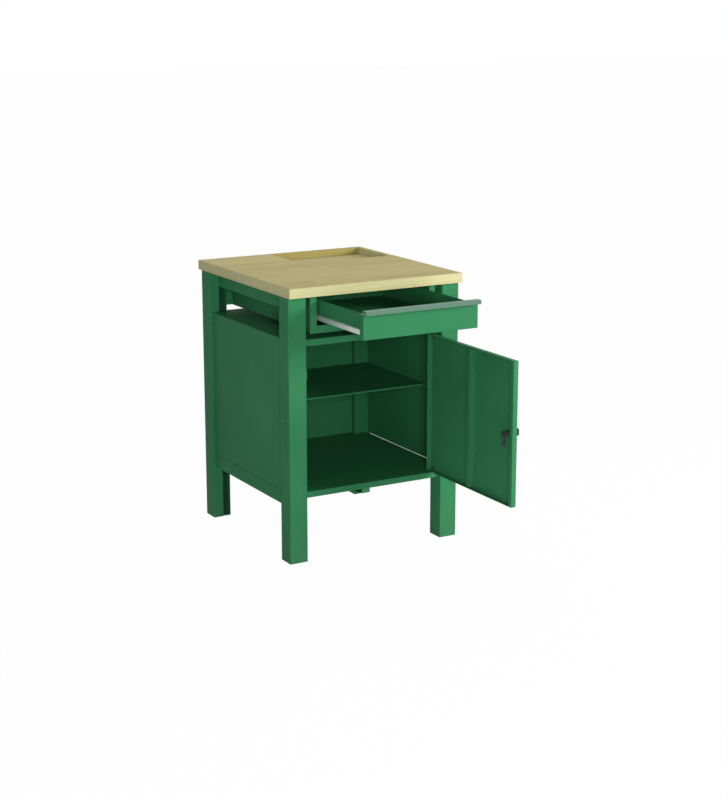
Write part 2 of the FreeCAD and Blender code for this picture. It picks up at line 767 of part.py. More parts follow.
def build_door():
    """Door pan with a return lip on its free edge, a stiffener, hinge bushes, and the pins they turn on."""
    pan = folded_pan(-door_half, door_half, face_plane, door_rim, door_bottom, door_top, door_sheet)
    lip = block(-door_half, -door_half + door_lip, door_rim - door_sheet, door_rim, door_bottom, door_top)
    bore = pin_diameter + 2 * pin_gap
    holes = [rod(pin_x, pin_y, door_bottom, UP, bore, door_top - door_bottom)]
    holes.append(rod(lock_x, face_plane, lock_z, BACKWARD, barrel_diameter + 2 * barrel_gap, door_sheet))
    save("door_panel", swung([without(joined([pan, lip]), holes)]))

    skin = face_plane + door_sheet
    low = door_bottom + stiffener_end_gap
    high = door_top - stiffener_end_gap
    half = stiffener_width / 2
    back = door_rim - stiffener_setback
    ridge = block(-half, half, skin, back, low, high)
    groove = block(-half + door_sheet, half - door_sheet, skin, back - door_sheet, low, high)
    feet = block(-half - stiffener_foot, half + stiffener_foot, skin, skin + door_sheet, low, high)
    save("door_stiffener", swung([joined([ridge, feet]).cut(groove)]))

    bush_diameter = 2 * (pin_inset - door_sheet)
    bushes = []
    for z in (door_bottom + door_sheet, door_top - door_sheet - bush_length):
        bush = rod(pin_x, pin_y, z, UP, bush_diameter, bush_length)
        bushes.append(bush.cut(rod(pin_x, pin_y, z, UP, bore, bush_length)))
    save("hinge_bushes", swung(bushes))

    lower_end = door_bottom + door_sheet + bush_length
    lower_head = 2 * (pin_inset - floor_sheet - running_gap)
    upper_head = 2 * (pin_inset - panel_sheet - running_gap)
    lower = joined([rod(pin_x, pin_y, floor_underside, UP, pin_diameter, lower_end - floor_underside),
                    rod(pin_x, pin_y, floor_underside - pin_head_height, UP, lower_head, pin_head_height),
                    rod(pin_x, pin_y, floor_top, UP, 2 * pin_inset, door_bottom_gap - collar_gap)])
    upper_end = door_top - door_sheet - bush_length
    seat = roof_flange_bottom + panel_sheet
    upper = joined([rod(pin_x, pin_y, upper_end, UP, pin_diameter, seat - upper_end),
                    rod(pin_x, pin_y, seat, UP, upper_head, pin_head_height)])
    save("hinge_pins", [lower, upper])


def build_lock():
    """Lock barrel with its rosette on the door, and the knob, spindle, cam and nut that turn in it."""
    rosette = rod(lock_x, face_plane - rosette_height, lock_z, BACKWARD, rosette_diameter, rosette_height)
    barrel = rod(lock_x, face_plane, lock_z, BACKWARD, barrel_diameter, barrel_back - face_plane)
    bore = rod(lock_x, face_plane - rosette_height, lock_z, BACKWARD, spindle_diameter + 2 * spindle_gap,
               rosette_height + barrel_back - face_plane)
    save("lock_barrel", swung([joined([rosette, barrel]).cut(bore)]))

    knob_back = face_plane - rosette_height - knob_gap
    knob = rod(lock_x, knob_back - knob_length, lock_z, BACKWARD, knob_diameter, knob_length)
    grip_half = knob_waist / 2
    for side in (-1, 1):
        cheek = block(-knob_diameter, 0, -knob_length, -knob_length / 3, -knob_diameter, knob_diameter)
        if side > 0:
            cheek = mirrored(cheek)
        knob = knob.cut(cheek.translated(V(lock_x + side * grip_half, knob_back, lock_z)))
    end = cam_back + cam_nut_height
    spindle = rod(lock_x, knob_back, lock_z, BACKWARD, spindle_diameter, end - knob_back)
    save("lock_knob", swung([joined([knob, spindle])]))

    plate = block(lock_x - cam_width / 2, lock_x + cam_width / 2, cam_front, cam_back,
                  lock_z - cam_tip - lock_x, lock_z)
    hub = rod(lock_x, cam_front, lock_z, BACKWARD, cam_width, cam_sheet)
    eye = rod(lock_x, cam_front, lock_z, BACKWARD, spindle_diameter + 2 * thread_gap, cam_sheet)
    save("lock_cam", swung([joined([plate, hub]).cut(eye)]))
    nut = hexagon(lock_x, cam_back, lock_z, BACKWARD, cam_nut_diameter, cam_nut_height)
    save("lock_nut", swung([nut.cut(rod(lock_x, cam_back, lock_z, BACKWARD,
                                        spindle_diameter + 2 * thread_gap, cam_nut_height))]))


def build_stops():
    """Angle bracket that stops the closed door, its rubber buffer, and the buffers behind the drawer."""
    front = door_rim + running_gap + buffer_length
    low = door_top - stop_bracket_drop
    high = low + stop_bracket_height
    leg_plate = block(-leg_inner, -leg_inner + stop_bracket_sheet, front, front + stop_bracket_leg, low, high)
    stop_plate = block(-leg_inner, -leg_inner + stop_bracket_width, front, front + stop_bracket_sheet, low, high)
    save("door_stop_bracket", [joined([leg_plate, stop_plate])])
    door_buffer = rod(-leg_inner + (stop_bracket_sheet + stop_bracket_width) / 2, front - buffer_length,
                      (low + high) / 2, BACKWARD, buffer_diameter, buffer_length)
    buffers = [door_buffer]
    wall = housing_back - housing_sheet
    for side in (-1, 1):
        buffers.append(rod(side * (box_half - rear_buffer_inset), wall - rear_buffer_length,
                           (drawer_underside + drawer_back_top) / 2, BACKWARD, buffer_diameter,
                           rear_buffer_length))
    save("rubber_buffers", buffers)


os.makedirs("parts", exist_ok=True)
build_worktop()
build_legs()
build_rails()
build_bolts()
build_panels()
build_decks()
build_shelf()
build_housing()
build_drawer_front()
build_drawer_box()
build_door()
build_lock()
build_stops()
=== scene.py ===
# %% [markdown]
# # A steel workbench with a wooden top
# The bench is a folded-steel frame with a cupboard, a drawer on rollers and a glued beech top with a tool well.
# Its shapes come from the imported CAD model, in metres, with Z up and the front towards -Y. This script dresses
# them: finishes on every part, finer shapes where a hand or an eye comes close, a floor, light and a camera.

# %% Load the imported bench
import json
import math

import bmesh
import bpy
import numpy as np
from mathutils import Matrix, Vector


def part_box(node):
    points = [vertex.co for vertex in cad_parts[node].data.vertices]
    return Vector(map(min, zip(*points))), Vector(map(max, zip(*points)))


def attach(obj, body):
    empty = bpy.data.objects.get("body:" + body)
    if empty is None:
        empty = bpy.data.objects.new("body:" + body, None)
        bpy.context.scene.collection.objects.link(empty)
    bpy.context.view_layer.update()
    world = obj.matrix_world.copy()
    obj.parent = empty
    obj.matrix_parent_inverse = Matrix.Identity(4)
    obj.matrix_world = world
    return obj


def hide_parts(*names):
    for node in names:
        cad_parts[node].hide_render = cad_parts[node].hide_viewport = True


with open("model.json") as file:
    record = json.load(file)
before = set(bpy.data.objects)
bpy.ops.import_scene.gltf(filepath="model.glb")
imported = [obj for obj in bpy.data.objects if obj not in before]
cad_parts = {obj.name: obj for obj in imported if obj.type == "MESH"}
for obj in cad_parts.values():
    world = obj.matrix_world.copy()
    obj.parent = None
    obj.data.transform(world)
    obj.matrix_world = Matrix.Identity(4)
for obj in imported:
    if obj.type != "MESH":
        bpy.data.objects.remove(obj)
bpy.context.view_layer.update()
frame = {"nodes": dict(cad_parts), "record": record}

# %% [markdown]
# ## Camera
# The picture was taken with a long lens from the left front, a little above the worktop. A camera can be placed
# by eye, but here a position, a heading and a downward tilt were fitted to the corners of the worktop, the feet
# and the door, which gives nearly the same outline. It has no shift, so that other views stay centred.

# %% Camera
EYE = (-2.5361, -4.6714, 1.6959)
HEADING = 0.51916
TILT = 0.23641
FOCAL_PIXELS = 1700.0
FRAME_HEIGHT = 800
SENSOR_HEIGHT = 36.0
FARTHEST_SEEN = 100.0

reach = math.cos(TILT)
forward = Vector((math.sin(HEADING) * reach, math.cos(HEADING) * reach, -math.sin(TILT)))
right = Vector((math.cos(HEADING), -math.sin(HEADING), 0.0))
above = right.cross(forward)
lens = bpy.data.cameras.new("bench_camera")
lens.sensor_fit = "VERTICAL"
lens.sensor_height = SENSOR_HEIGHT
lens.lens = FOCAL_PIXELS / FRAME_HEIGHT * SENSOR_HEIGHT
lens.clip_end = FARTHEST_SEEN
camera = bpy.data.objects.new("bench_camera", lens)
turn = Matrix((right, above, -forward)).transposed().to_4x4()
camera.matrix_world = Matrix.Translation(EYE) @ turn
bpy.context.collection.objects.link(camera)
bpy.context.scene.camera = camera
print("lens", round(lens.lens, 1), "mm")

# %% [markdown]
# ## Node helpers
# A procedural finish is a small graph of shader nodes. Writing each link by hand hides the idea, so one helper
# adds a node with its values, one starts a finish with its shader, and the rest name the few steps that all the
# finishes share: a pattern, a range, a mix, a sum, a soft edge and a relief.

# %% Node helpers
BEVEL_RAYS = 6
EDGE_AGREES = 0.75
FLAT_AGREES = 0.99


def put(tree, kind, sockets=None, **settings):
    """Adds one shader node: settings are its own choices, sockets its inputs, each a value or an output."""
    node = tree.nodes.new(kind)
    for name, value in settings.items():
        setattr(node, name, value)
    for key, value in (sockets or {}).items():
        if isinstance(value, bpy.types.NodeSocket):
            tree.links.new(value, node.inputs[key])
        else:
            node.inputs[key].default_value = value
    return node


def start_finish(name, metallic=0.0, gloss=0.5):
    """A new material with one Principled shader and the part's own coordinates in metres."""
    material = bpy.data.materials.new(name)
    material.use_nodes = True
    tree = material.node_tree
    shader = tree.nodes["Principled BSDF"]
    shader.inputs["Metallic"].default_value = metallic
    shader.inputs["Specular IOR Level"].default_value = gloss
    place = put(tree, "ShaderNodeTexCoord").outputs["Object"]
    return material, tree, shader, place


def stretched(tree, place, scale):
    """The coordinates times a scale for X, Y and Z: a pattern is drawn out along the smallest of the three."""
    return put(tree, "ShaderNodeMapping", {"Vector": place, "Scale": scale}).outputs["Vector"]


def noise(tree, place, scale, detail=2.0, roughness=0.5):
    """Smooth noise from 0 to 1, with about that many bumps to the metre."""
    made = put(tree, "ShaderNodeTexNoise", {"Vector": place, "Scale": scale, "Detail": detail,
                                            "Roughness": roughness})
    return made.outputs["Fac"]


def between(tree, factor, low, high, start=0.0, end=1.0):
    """Maps a factor from start..end to low..high, held at both ends."""
    made = put(tree, "ShaderNodeMapRange", {"Value": factor, "From Min": start, "From Max": end,
                                            "To Min": low, "To Max": high})
    return made.outputs["Result"]


def mixed(tree, factor, first, second):
    """Mixes two colours by a factor: first at 0, second at 1."""
    made = put(tree, "ShaderNodeMix", data_type="RGBA")
    for socket, value in ((made.inputs[0], factor), (made.inputs[6], first), (made.inputs[7], second)):
        if isinstance(value, bpy.types.NodeSocket):
            tree.links.new(value, socket)
        else:
            socket.default_value = value
    return made.outputs[2]


def reckon(tree, operation, first, second=0.0):
    """One sum with two numbers, such as MULTIPLY or MAXIMUM."""
    return put(tree, "ShaderNodeMath", {0: first, 1: second}, operation=operation).outputs[0]


def rise_of(tree, vector):
    """The Z part of a vector."""
    return put(tree, "ShaderNodeSeparateXYZ", {"Vector": vector}).outputs["Z"]


def soft_edge(tree, radius):
    """The normal of the part with its sharp edges rounded to a radius in metres, for the light alone."""
    return put(tree, "ShaderNodeBevel", {"Radius": radius}, samples=BEVEL_RAYS).outputs["Normal"]


def edge_share(tree, rounded_normal):
    """0 on flat faces, rising to 1 on the edges, where the rounded normal leaves the flat one."""
    flat = put(tree, "ShaderNodeNewGeometry").outputs["Normal"]
    agree = put(tree, "ShaderNodeVectorMath", {0: rounded_normal, 1: flat}, operation="DOT_PRODUCT")
    return between(tree, agree.outputs["Value"], 1.0, 0.0, EDGE_AGREES, FLAT_AGREES)


def relief(tree, shader, height, distance, strength=1.0, rounded_normal=None):
    """Small bumps of a real height in metres on the shader's normal."""
    sockets = {"Height": height, "Distance": distance, "Strength": strength}
    if rounded_normal is not None:
        sockets["Normal"] = rounded_normal
    made = put(tree, "ShaderNodeBump", sockets)
    tree.links.new(made.outputs["Normal"], shader.inputs["Normal"])


def finish_with(tree, shader, tone, roughness):
    """Links the tone and the roughness of a finish to its shader."""
    tree.links.new(tone, shader.inputs["Base Color"])
    tree.links.new(roughness, shader.inputs["Roughness"])


# %% [markdown]
# ## Green powder coat
# The steel is coated with a satin green powder, which melts to a faint orange-peel skin. Image textures would
# need seams laid out on every folded sheet, so the skin comes from noise on the part's own coordinates: a fine
# bump of about a millimetre, a slow drift of tone, and a film of dust that gathers towards the feet. Powder
# draws thin over a bend, so the edges are a little paler, and a bevel normal lets them catch the light.

# %% Green powder coat
COAT_DEEP = (0.031, 0.184, 0.077, 1)
COAT_FRESH = (0.042, 0.215, 0.092, 1)
COAT_SPECK = (0.027, 0.16, 0.065, 1)
COAT_DUST = (0.15, 0.22, 0.14, 1)
COAT_THIN = (0.13, 0.34, 0.19, 1)
COAT_GLOSS = 0.018
DUST_SHARE = 0.16
DUST_HEIGHT = 0.16
BEND_RADIUS = 0.0012
PEEL_PER_METRE = 700.0
PEEL_HEIGHT = 0.00012


def green_powder_coat():
    """A drift between two greens, with specks, with dust that fades out upwards, and paler on the bends."""
    material, tree, shader, place = start_finish("green_powder_coat", gloss=COAT_GLOSS)
    drift = noise(tree, place, 3.0, 3.0)
    tone = mixed(tree, between(tree, drift, 0.0, 1.0, 0.3, 0.7), COAT_DEEP, COAT_FRESH)
    specks = between(tree, noise(tree, place, 420.0, 1.0), 0.0, 0.35, 0.62, 0.78)
    tone = mixed(tree, specks, tone, COAT_SPECK)
    dusty = between(tree, rise_of(tree, place), DUST_SHARE, 0.0, 0.0, DUST_HEIGHT)
    tone = mixed(tree, reckon(tree, "MULTIPLY", dusty, noise(tree, place, 60.0, 4.0)), tone, COAT_DUST)
    bend = soft_edge(tree, BEND_RADIUS)
    thin = reckon(tree, "MULTIPLY", edge_share(tree, bend), noise(tree, place, 35.0, 4.0))
    tone = mixed(tree, thin, tone, COAT_THIN)
    finish_with(tree, shader, tone, between(tree, noise(tree, place, 25.0, 4.0), 0.36, 0.5))
    relief(tree, shader, noise(tree, place, PEEL_PER_METRE, 1.5), PEEL_HEIGHT, 0.5, bend)
    return material


GREEN = green_powder_coat()
print(GREEN.name, len(GREEN.node_tree.nodes), "nodes")

# %% [markdown]
# ## Glued beech
# The top is glued from beech staves that run from left to right. Planks could be cut and coloured one by one,
# but a brick pattern on X and Y gives the staves at once, each with its own tone; noise drawn out along X gives
# the grain, and a finer one the short dark flecks of beech. Because the pattern is solid, the front edge shows
# long grain and the left edge shows the staves' ends. Upright faces are painted paler than the upper face, as
# painted light, and the arrises are darker. The strip at the back of the tool well gets a darker, more golden
# tint, which paints the shade inside the well.

# %% Glued beech
WOOD_GLOSS = 0.08
STAVE_LENGTH = 0.47
STAVE_WIDTH = 0.043
GLUE_LINE = 0.00035
GRAIN_WANDER = 0.012
GRAIN_HEIGHT = 0.0002
ARRIS_RADIUS = 0.0015
STAVE_DARK = (0.485, 0.415, 0.172)
STAVE_LIGHT = (0.57, 0.5, 0.22)
STAVE_GLUE = (0.30, 0.23, 0.095)
BEECH_GRAIN = (0.415, 0.33, 0.132)
BEECH_FLECK = (0.30, 0.21, 0.085)
BEECH_WORN = (0.59, 0.54, 0.29)
# Paler tone of upright faces: painted light on the sides of the top.
BEECH_PAINTED_LIGHT = (0.6, 0.6, 0.36)
# Darker tone on the arrises.
BEECH_DARK_ARRIS = (0.36, 0.27, 0.11)
PLAIN_TINT = (1.0, 1.0, 1.0)
# Darker, more golden tint of the well's back strip: painted shade of the well.
WELL_SHADE_TINT = (0.76, 0.74, 0.6)
# How far upright faces go towards that painted light.
UPRIGHT_LIGHT_SHARE = 0.6


def upright_share(tree):
    """1 on upright faces and 0 on level ones, from the rise of the face's own direction."""
    facing = put(tree, "ShaderNodeTexCoord").outputs["Normal"]
    return between(tree, reckon(tree, "ABSOLUTE", rise_of(tree, facing)), 1.0, 0.0, 0.3, 0.7)


def glued_beech(name, tint, painted_light_amount):
    """Staves, grain, flecks and worn patches, each tone times a tint; upright faces painted paler as painted
    light, darker arrises.
    """
    def shade(tone):
        return tone[0] * tint[0], tone[1] * tint[1], tone[2] * tint[2], 1

    material, tree, shader, place = start_finish(name, gloss=WOOD_GLOSS)
    staves = put(tree, "ShaderNodeTexBrick", {
        "Vector": place, "Color1": shade(STAVE_DARK), "Color2": shade(STAVE_LIGHT), "Mortar": shade(STAVE_GLUE),
        "Scale": 1.0, "Mortar Size": GLUE_LINE, "Mortar Smooth": 0.6, "Bias": 0.0,
        "Brick Width": STAVE_LENGTH, "Row Height": STAVE_WIDTH}, offset=0.37, offset_frequency=2)
    wander = noise(tree, stretched(tree, place, (2.0, 14.0, 14.0)), 1.0, 2.0)
    sideways = put(tree, "ShaderNodeCombineXYZ", {"Y": between(tree, wander, -GRAIN_WANDER, GRAIN_WANDER)})
    shifted = put(tree, "ShaderNodeVectorMath", {0: place, 1: sideways.outputs[0]}, operation="ADD").outputs[0]
    grain = noise(tree, stretched(tree, shifted, (5.0, 170.0, 170.0)), 1.0, 5.0, 0.6)
    tone = mixed(tree, between(tree, grain, 0.0, 0.55, 0.35, 0.75), staves.outputs["Color"], shade(BEECH_GRAIN))
    flecks = noise(tree, stretched(tree, place, (110.0, 900.0, 900.0)), 1.0, 1.0)
    tone = mixed(tree, between(tree, flecks, 0.0, 0.5, 0.63, 0.75), tone, shade(BEECH_FLECK))
    worn = noise(tree, place, 9.0, 4.0)
    tone = mixed(tree, between(tree, worn, 0.0, 0.25, 0.55, 0.8), tone, shade(BEECH_WORN))
    # Upright faces are mixed towards the paler tone: painted light.
    tone = mixed(tree, between(tree, upright_share(tree), 0.0, painted_light_amount), tone, shade(BEECH_PAINTED_LIGHT))
    arris = soft_edge(tree, ARRIS_RADIUS)
    # The arrises mix towards the darker tone, by the rounded normal and noise.
    arris_darkening = reckon(tree, "MULTIPLY", edge_share(tree, arris), noise(tree, place, 30.0, 4.0))
    tone = mixed(tree, arris_darkening, tone, shade(BEECH_DARK_ARRIS))
    finish_with(tree, shader, tone, between(tree, grain, 0.42, 0.6))
    relief(tree, shader, grain, GRAIN_HEIGHT, 0.5, arris)
    return material


BEECH = glued_beech("glued_beech", PLAIN_TINT, UPRIGHT_LIGHT_SHARE)
# The well's back strip: beech darkened as painted shade of the well.
WELL_SHADE_BEECH = glued_beech("beech_with_well_shade", WELL_SHADE_TINT, 0.0)
print(BEECH.name, WELL_SHADE_BEECH.name, len(BEECH.node_tree.nodes), "nodes")

# %% [markdown]
# ## Plywood
# The board under the staves, which is also the floor of the tool well, is plywood. Its plies could be thin
# solids, but they only show as stripes on the edge, so the tone swings to and fro with the height above the
# board's underside, and noise drawn out along X gives the face its veneer grain.

# %% Plywood
PLY_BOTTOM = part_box("worktop_base_board")[0][2]
PLY_THICKNESS = 0.0016
VENEER_HEIGHT = 0.0002
PLY_PALE = (0.6, 0.575, 0.33, 1)
PLY_GRAIN = (0.5, 0.45, 0.23, 1)
PLY_CROSS_DARK = (0.48, 0.42, 0.2, 1)
PLY_CROSS_LIGHT = (0.56, 0.51, 0.27, 1)


def plywood():
    """Plies swing with the height above the underside, as a wave of two plies; grain runs along X in each."""
    material, tree, shader, place = start_finish("plywood", gloss=WOOD_GLOSS)
    risen = reckon(tree, "SUBTRACT", rise_of(tree, place), PLY_BOTTOM)
    plies = reckon(tree, "PINGPONG", risen, PLY_THICKNESS)
    layer = between(tree, plies, 0.0, 1.0, 0.0006, 0.001)
    along = noise(tree, stretched(tree, place, (6.0, 120.0, 120.0)), 1.0, 5.0, 0.6)
    pale = mixed(tree, between(tree, along, 0.0, 0.6, 0.35, 0.75), PLY_PALE, PLY_GRAIN)
    tone = mixed(tree, layer, pale, mixed(tree, along, PLY_CROSS_DARK, PLY_CROSS_LIGHT))
    finish_with(tree, shader, tone, between(tree, along, 0.5, 0.66))
    relief(tree, shader, along, VENEER_HEIGHT, 0.4)
    return material


PLYWOOD = plywood()
print(PLYWOOD.name, len(PLYWOOD.node_tree.nodes), "nodes")

# %% [markdown]
# ## Bare metals
# Runners and screws are zinc-plated steel, with a soft cloudy bloom. The grip rail is anodised aluminium,
# extruded and brushed along its length, so its streaks run along X. The bolts, the pins and the lock are
# blackened and oiled. All could share one grey, but streaks, cloud and oil make them read as three metals.

# %% Bare metals
ZINC_DARK = (0.62, 0.69, 0.655, 1)
ZINC_LIGHT = (0.76, 0.81, 0.785, 1)
GRIP_DARK = (0.118, 0.228, 0.17, 1)
GRIP_LIGHT = (0.185, 0.325, 0.245, 1)
OILED_DARK = (0.035, 0.042, 0.04, 1)
OILED_LIGHT = (0.085, 0.095, 0.09, 1)


def zinc_plate():
    """Two greys mixed by a cloudy noise, which also sets how dull the plating is."""
    material, tree, shader, place = start_finish("zinc_plate", metallic=0.6)
    bloom = noise(tree, place, 45.0, 5.0, 0.65)
    finish_with(tree, shader, mixed(tree, bloom, ZINC_DARK, ZINC_LIGHT), between(tree, bloom, 0.36, 0.55))
    relief(tree, shader, noise(tree, place, 900.0, 2.0), 0.00005, 0.4, soft_edge(tree, 0.0005))
    return material


def brushed_aluminium():
    """Two greys mixed by noise that is drawn out along X, which is also the relief of the brushing."""
    material, tree, shader, place = start_finish("brushed_aluminium", metallic=0.75)
    streaks = noise(tree, stretched(tree, place, (6.0, 1500.0, 1500.0)), 1.0, 3.0, 0.6)
    finish_with(tree, shader, mixed(tree, streaks, GRIP_DARK, GRIP_LIGHT), between(tree, streaks, 0.38, 0.52))
    relief(tree, shader, streaks, 0.00004, 0.5, soft_edge(tree, 0.0008))
    return material


def blackened_steel():
    """Two near-blacks mixed by noise, as oil lies in patches, over a fine grain."""
    material, tree, shader, place = start_finish("blackened_steel", metallic=0.5, gloss=0.3)
    oil = noise(tree, place, 80.0, 4.0, 0.6)
    finish_with(tree, shader, mixed(tree, oil, OILED_DARK, OILED_LIGHT), between(tree, oil, 0.4, 0.62))
    relief(tree, shader, noise(tree, place, 1100.0, 2.0), 0.00004, 0.4, soft_edge(tree, 0.0004))
    return material


ZINC = zinc_plate()
ALUMINIUM = brushed_aluminium()
DARK_STEEL = blackened_steel()
print(ZINC.name, ALUMINIUM.name, DARK_STEEL.name)

# %% [markdown]
# ## Plastics and rubber
# The knob is moulded black plastic with a fine spark-eroded skin, the plugs in the legs are moulded in the
# green of the coat, the rollers are off-white nylon, and the buffers are rubber. Four graphs could be drawn,
# but they differ only in tone, grain and gloss, so one function makes them all.

# %% Plastics and rubber
MOULD_RELIEF = 0.00006


def moulded(name, dark, light, grain_per_metre, smooth, rough):
    """Two close tones mixed by a cloud, a grain of the given fineness, and gloss between two roughnesses."""
    material, tree, shader, place = start_finish(name, gloss=0.3)
    cloud = noise(tree, place, 60.0, 3.0)
    finish_with(tree, shader, mixed(tree, cloud, dark, light), between(tree, cloud, smooth, rough))
    relief(tree, shader, noise(tree, place, grain_per_metre, 2.0), MOULD_RELIEF, 0.5)
    return material


BLACK = moulded("black_plastic", dark=(0.012, 0.012, 0.013, 1), light=(0.024, 0.024, 0.025, 1),
                grain_per_metre=1400.0, smooth=0.38, rough=0.55)
NYLON = moulded("off_white_nylon", dark=(0.62, 0.61, 0.56, 1), light=(0.72, 0.71, 0.66, 1),
                grain_per_metre=500.0, smooth=0.32, rough=0.45)
RUBBER = moulded("black_rubber", dark=(0.018, 0.018, 0.018, 1), light=(0.035, 0.034, 0.033, 1),
                 grain_per_metre=900.0, smooth=0.7, rough=0.85)
PLUG_GREEN = moulded("green_plastic", dark=(0.034, 0.17, 0.075, 1), light=(0.05, 0.215, 0.1, 1),
                     grain_per_metre=1000.0, smooth=0.45, rough=0.6)
print(BLACK.name, NYLON.name, RUBBER.name, PLUG_GREEN.name)

# %% [markdown]
# ## Finishes on the CAD parts
# Each part of the record names a material slot. Finishes could be given part by part, but giving them through
# that slot keeps the two lists in step, and no part is left with a plain colour. Only the strip at the back of
# the tool well, whose darker tint paints the shade of the well, is dressed by its own name.

# %% Finishes on the CAD parts
FINISHES = {"green_paint": GREEN, "beech": BEECH, "plywood": PLYWOOD, "zinc_steel": ZINC,
            "aluminium": ALUMINIUM, "dark_steel": DARK_STEEL, "black_plastic": BLACK,
            "green_plastic": PLUG_GREEN, "nylon": NYLON, "rubber": RUBBER}
SLOT_OF = {part["node"]: part["material_slot"] for part in frame["record"]["subparts"]}


def dress(part, finish):
    """Gives a part one finish in all its slots."""
    part.data.materials.clear()
    part.data.materials.append(finish)


for name, part in frame["nodes"].items():
    dress(part, FINISHES[SLOT_OF[name]])
# The well's back strip gets the beech with painted shade of the well.
dress(frame["nodes"]["well_back_rim"], WELL_SHADE_BEECH)
print("dressed", len(frame["nodes"]), "parts")

# %% [markdown]
# ## Surfaces from grids
# Small parts of the bench are finer than their CAD stand-ins: a knob has flutes, a bolt has a thread. Each
# could be cut out of blocks, but every one of them is also a sheet of points with two parameters, such as the
# angle round an axis and the place along it. Numpy works out the whole sheet at once, and faces join it up.

# %% Surface helpers
SAME_POINT = 1e-6


def grid_faces(rows, columns, loop):
    """Faces with four corners between the neighbours of a grid. The last column meets the first, and with a
    loop the last row does too."""
    row = np.arange(rows if loop else rows - 1)[:, None]
    column = np.arange(columns)[None, :]
    after, beside = (row + 1) % rows, (column + 1) % columns
    corners = (row * columns + column, row * columns + beside,
               after * columns + beside, after * columns + column)
    return np.stack([np.broadcast_to(corner, (row.size, columns)).ravel() for corner in corners], axis=1)


def angles(columns):
    """Equal angles round a full turn."""
    return np.linspace(0.0, 2 * np.pi, columns, endpoint=False)


def turned(radius, rise, columns=48):
    """A turned shape: each row is the circle radius * (cos angle, sin angle) at its rise along Z. Radius and
    rise are one value for each row, or whole grids of rows and angles."""
    radius, rise = [np.reshape(value, (len(value), -1)) for value in (radius, rise)]
    shape = np.broadcast_shapes(radius.shape, rise.shape, (1, columns))
    radius, rise = np.broadcast_to(radius, shape), np.broadcast_to(rise, shape)
    return np.stack([radius * np.cos(angles(columns)), radius * np.sin(angles(columns)), rise], axis=-1)


def aimed(grid, spots, axis):
    """Copies of a grid with its Z turned to an axis and its origin moved to each spot."""
    turn = np.array(Vector((0, 0, 1)).rotation_difference(Vector(axis)).to_matrix())
    return [grid @ turn.T + np.array(spot) for spot in spots]


def piece(name, grids, slot, body, node=None, loop=False, crease=40.0):
    """One mesh from its grids. Seams and poles are welded and faces turned outwards, then it rides on its body
    and stands for its CAD node."""
    starts = np.cumsum([0] + [grid.shape[0] * grid.shape[1] for grid in grids])
    faces = [grid_faces(*grid.shape[:2], loop) + start for grid, start in zip(grids, starts)]
    mesh = bpy.data.meshes.new(name)
    mesh.from_pydata(np.concatenate([grid.reshape(-1, 3) for grid in grids]).tolist(), [],
                     np.concatenate(faces).tolist())
    welded = bmesh.new()
    welded.from_mesh(mesh)
    bmesh.ops.remove_doubles(welded, verts=welded.verts, dist=SAME_POINT)
    bmesh.ops.recalc_face_normals(welded, faces=welded.faces)
    welded.to_mesh(mesh)
    welded.free()
    mesh.polygons.foreach_set("use_smooth", np.ones(len(mesh.polygons), dtype=bool))
    mesh.set_sharp_from_angle(angle=math.radians(crease))
    mesh.materials.append(FINISHES[slot])
    made = bpy.data.objects.new(name, mesh)
    bpy.context.collection.objects.link(made)
    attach(made, body)
    if node:
        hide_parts(node)
    print(name, len(mesh.polygons), "faces on", body)
    return made


def node_box(node):
    """Lowest and highest corner of a CAD part, and its middle, as arrays in metres."""
    low, high = [np.array(corner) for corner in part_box(node)]
    return low, high, (low + high) / 2


# %% [markdown]
# ## Lock knob
# The knob on the door's outer face is moulded plastic: a round skirt with fine flutes for the fingertips, which
# turns into a flat wing that the thumb can twist. Two solids could be joined, but one sheet is smoother: each
# row blends its radius from the fluted circle to the wing, and the last rows close over the crown.

# %% Lock knob
KNOB_LENGTH = 0.018
WING_HALF = 0.0078
WING_REACH = 0.98
FLUTES = 28
FLUTE_DEPTH = 0.00035
FLUTE_LEAD = 0.06
STEP_START = 0.27
STEP_LENGTH = 0.16
CROWN_START = 0.86
CROWN_DROP = 0.12
WALL_ROWS = 40
CROWN_ROWS = 10
DISH_REACH = (0.75, 0.35, 0.0)
DISH_RISE = (0.998, 0.994, 0.992)
SPINDLE_RADIUS = 0.004
SPINDLE_CHAMFER = 0.0006


def knob_grid(radius, columns=224):
    """Radius(row, angle) = circle with flutes at the skirt, min(circle, half wing / |sin angle|) at the wing.
    An eased step along the length blends the two, and a quarter circle rounds the crown to a shallow dish."""
    rounding = np.linspace(0.1, np.pi / 2, CROWN_ROWS)
    along = np.concatenate([np.linspace(0.0, CROWN_START, WALL_ROWS),
                            CROWN_START + (1 - CROWN_START) * np.sin(rounding)])
    crown = np.concatenate([np.ones(WALL_ROWS), 1 - CROWN_DROP * (1 - np.cos(rounding))])
    angle = angles(columns)
    step = np.clip((along - STEP_START) / STEP_LENGTH, 0.0, 1.0)
    step = (step * step * (3 - 2 * step))[:, None]
    wave = FLUTE_DEPTH * (0.5 + 0.5 * np.cos(FLUTES * angle))
    flute = wave * np.clip(along / FLUTE_LEAD, 0, 1)[:, None] * (1 - step)
    wing = np.minimum(radius * WING_REACH, WING_HALF / np.maximum(np.abs(np.sin(angle)), 1e-3))
    wall = ((1 - step) * (radius - flute) + step * wing) * crown[:, None]
    wall = np.vstack([np.zeros(columns), wall, wall[-1] * np.array(DISH_REACH)[:, None]])
    return turned(wall, np.concatenate([[0.0], along, DISH_RISE]) * KNOB_LENGTH, columns)


